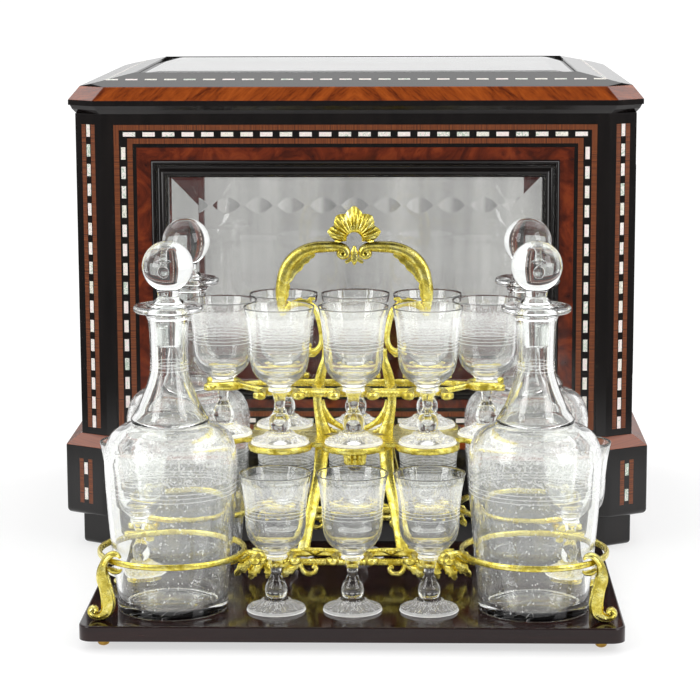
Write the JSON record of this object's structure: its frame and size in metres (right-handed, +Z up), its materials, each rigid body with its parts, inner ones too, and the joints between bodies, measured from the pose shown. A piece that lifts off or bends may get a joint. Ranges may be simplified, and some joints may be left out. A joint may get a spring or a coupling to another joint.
{
  "type": "liqueur cabinet",
  "caption": "Glazed ebonised liqueur cabinet with inlaid bands and a hinged lid; before it a gilt carrying stand holds stoppered decanters and goblets on a tray.",
  "frame": {"origin": "on the table top, at the middle of the floor that the cabinet and the stand before it cover", "axes": "+X to the right, +Y from the stand at the front to the back of the cabinet, +Z up"},
  "size_m": [0.386, 0.5334, 0.313],
  "materials": {
    "ebonised_wood": "French polished, gloss",
    "kingwood": "French polished, gloss",
    "thuya_burr": "French polished, gloss",
    "lining_wood": "satin",
    "tray_wood": "French polished, gloss",
    "mother_of_pearl": "polished",
    "plate_glass": "polished, bevelled",
    "hinge_brass": "polished",
    "gilt_brass": "chased and gilt",
    "engraved_crystal": "polished, engraved"
  },
  "bodies": {
    "cabinet": {"base_socle": "ebonised_wood", "plinth": "ebonised_wood", "plinth_slope": "kingwood", "floor_board": "lining_wood", "corner_posts": "ebonised_wood", "wall_frames": "ebonised_wood", "kingwood_stringing": "kingwood", "pearl_banding": "mother_of_pearl", "thuya_veneer": "thuya_burr", "window_mouldings": "ebonised_wood", "window_panes": "plate_glass", "glazing_beads": "ebonised_wood", "case_hinge_leaves": "hinge_brass", "hinge_pins": "hinge_brass", "case_hinge_screws": "hinge_brass"},
    "lid": {"lid_rim": "ebonised_wood", "lid_slope": "kingwood", "lid_rails": "ebonised_wood", "lid_pearl_banding": "mother_of_pearl", "lid_pane": "plate_glass", "lid_hinge_leaves": "hinge_brass", "lid_hinge_screws": "hinge_brass"},
    "stand": {"tray": "tray_wood", "tray_knobs": "gilt_brass", "corner_feet": "gilt_brass", "decanter_rings": "gilt_brass", "lower_galleries": "gilt_brass", "side_collars": "gilt_brass", "side_seats": "gilt_brass", "shelf_legs": "gilt_brass", "goblet_shelf": "gilt_brass", "lyre_posts": "gilt_brass", "goblet_gallery": "gilt_brass", "handle_arch": "gilt_brass", "shell_finial": "gilt_brass"},
    "goblet_lower_1": {"goblet_lower_1": "engraved_crystal"},
    "goblet_lower_2": {"goblet_lower_2": "engraved_crystal"},
    "goblet_lower_3": {"goblet_lower_3": "engraved_crystal"},
    "goblet_lower_4": {"goblet_lower_4": "engraved_crystal"},
    "goblet_lower_5": {"goblet_lower_5": "engraved_crystal"},
    "goblet_lower_6": {"goblet_lower_6": "engraved_crystal"},
    "goblet_lower_7": {"goblet_lower_7": "engraved_crystal"},
    "goblet_lower_8": {"goblet_lower_8": "engraved_crystal"},
    "goblet_upper_1": {"goblet_upper_1": "engraved_crystal"},
    "goblet_upper_2": {"goblet_upper_2": "engraved_crystal"},
    "goblet_upper_3": {"goblet_upper_3": "engraved_crystal"},
    "goblet_upper_4": {"goblet_upper_4": "engraved_crystal"},
    "goblet_upper_5": {"goblet_upper_5": "engraved_crystal"},
    "goblet_upper_6": {"goblet_upper_6": "engraved_crystal"},
    "goblet_upper_7": {"goblet_upper_7": "engraved_crystal"},
    "goblet_upper_8": {"goblet_upper_8": "engraved_crystal"},
    "decanter_front_left": {"decanter_front_left": "engraved_crystal"},
    "decanter_front_right": {"decanter_front_right": "engraved_crystal"},
    "decanter_back_left": {"decanter_back_left": "engraved_crystal"},
    "decanter_back_right": {"decanter_back_right": "engraved_crystal"},
    "stopper_front_left": {"stopper_front_left": "engraved_crystal"},
    "stopper_front_right": {"stopper_front_right": "engraved_crystal"},
    "stopper_back_left": {"stopper_back_left": "engraved_crystal"},
    "stopper_back_right": {"stopper_back_right": "engraved_crystal"}
  },
  "joints": [
    {"name": "lid_hinge", "type": "hinge", "parent": "cabinet", "child": "lid", "pos_m": [0, 0.26144, 0.288], "axis": [-1, 0, 0], "range_deg": [0, 100]},
    {"name": "stand_lift", "type": "slide", "parent": "cabinet", "child": "stand", "axis": [0, 0, 1], "range_m": [0, 0.12]},
    {"name": "goblet_lower_1_slide", "type": "slide", "parent": "stand", "child": "goblet_lower_1", "axis": [0, -1, 0], "range_m": [0, 0.028]},
    {"name": "goblet_lower_2_slide", "type": "slide", "parent": "stand", "child": "goblet_lower_2", "axis": [0, -1, 0], "range_m": [0, 0.028]},
    {"name": "goblet_lower_3_slide", "type": "slide", "parent": "stand", "child": "goblet_lower_3", "axis": [0, -1, 0], "range_m": [0, 0.028]},
    {"name": "goblet_lower_4_slide", "type": "slide", "parent": "stand", "child": "goblet_lower_4", "axis": [0, 1, 0], "range_m": [0, 0.028]},
    {"name": "goblet_lower_5_slide", "type": "slide", "parent": "stand", "child": "goblet_lower_5", "axis": [0, 1, 0], "range_m": [0, 0.028]},
    {"name": "goblet_lower_6_slide", "type": "slide", "parent": "stand", "child": "goblet_lower_6", "axis": [0, 1, 0], "range_m": [0, 0.028]},
    {"name": "goblet_lower_7_slide", "type": "slide", "parent": "stand", "child": "goblet_lower_7", "axis": [-1, 0, 0], "range_m": [0, 0.028]},
    {"name": "goblet_lower_8_slide", "type": "slide", "parent": "stand", "child": "goblet_lower_8", "axis": [1, 0, 0], "range_m": [0, 0.028]},
    {"name": "goblet_upper_1_slide", "type": "slide", "parent": "stand", "child": "goblet_upper_1", "axis": [0, -1, 0], "range_m": [0, 0.028]},
    {"name": "goblet_upper_2_slide", "type": "slide", "parent": "stand", "child": "goblet_upper_2", "axis": [0, -1, 0], "range_m": [0, 0.028]},
    {"name": "goblet_upper_3_slide", "type": "slide", "parent": "stand", "child": "goblet_upper_3", "axis": [0, -1, 0], "range_m": [0, 0.028]},
    {"name": "goblet_upper_4_slide", "type": "slide", "parent": "stand", "child": "goblet_upper_4", "axis": [0, 1, 0], "range_m": [0, 0.028]},
    {"name": "goblet_upper_5_slide", "type": "slide", "parent": "stand", "child": "goblet_upper_5", "axis": [0, 1, 0], "range_m": [0, 0.028]},
    {"name": "goblet_upper_6_slide", "type": "slide", "parent": "stand", "child": "goblet_upper_6", "axis": [0, 1, 0], "range_m": [0, 0.028]},
    {"name": "goblet_upper_7_slide", "type": "slide", "parent": "stand", "child": "goblet_upper_7", "axis": [-1, 0, 0], "range_m": [0, 0.028]},
    {"name": "goblet_upper_8_slide", "type": "slide", "parent": "stand", "child": "goblet_upper_8", "axis": [1, 0, 0], "range_m": [0, 0.028]},
    {"name": "decanter_front_left_lift", "type": "slide", "parent": "stand", "child": "decanter_front_left", "axis": [0, 0, 1], "range_m": [0, 0.04]},
    {"name": "decanter_front_right_lift", "type": "slide", "parent": "stand", "child": "decanter_front_right", "axis": [0, 0, 1], "range_m": [0, 0.04]},
    {"name": "decanter_back_left_lift", "type": "slide", "parent": "stand", "child": "decanter_back_left", "axis": [0, 0, 1], "range_m": [0, 0.04]},
    {"name": "decanter_back_right_lift", "type": "slide", "parent": "stand", "child": "decanter_back_right", "axis": [0, 0, 1], "range_m": [0, 0.04]},
    {"name": "stopper_front_left_lift", "type": "slide", "parent": "decanter_front_left", "child": "stopper_front_left", "axis": [0, 0, 1], "range_m": [0, 0.03]},
    {"name": "stopper_front_right_lift", "type": "slide", "parent": "decanter_front_right", "child": "stopper_front_right", "axis": [0, 0, 1], "range_m": [0, 0.03]},
    {"name": "stopper_back_left_lift", "type": "slide", "parent": "decanter_back_left", "child": "stopper_back_left", "axis": [0, 0, 1], "range_m": [0, 0.03]},
    {"name": "stopper_back_right_lift", "type": "slide", "parent": "decanter_back_right", "child": "stopper_back_right", "axis": [0, 0, 1], "range_m": [0, 0.03]}
  ]
}
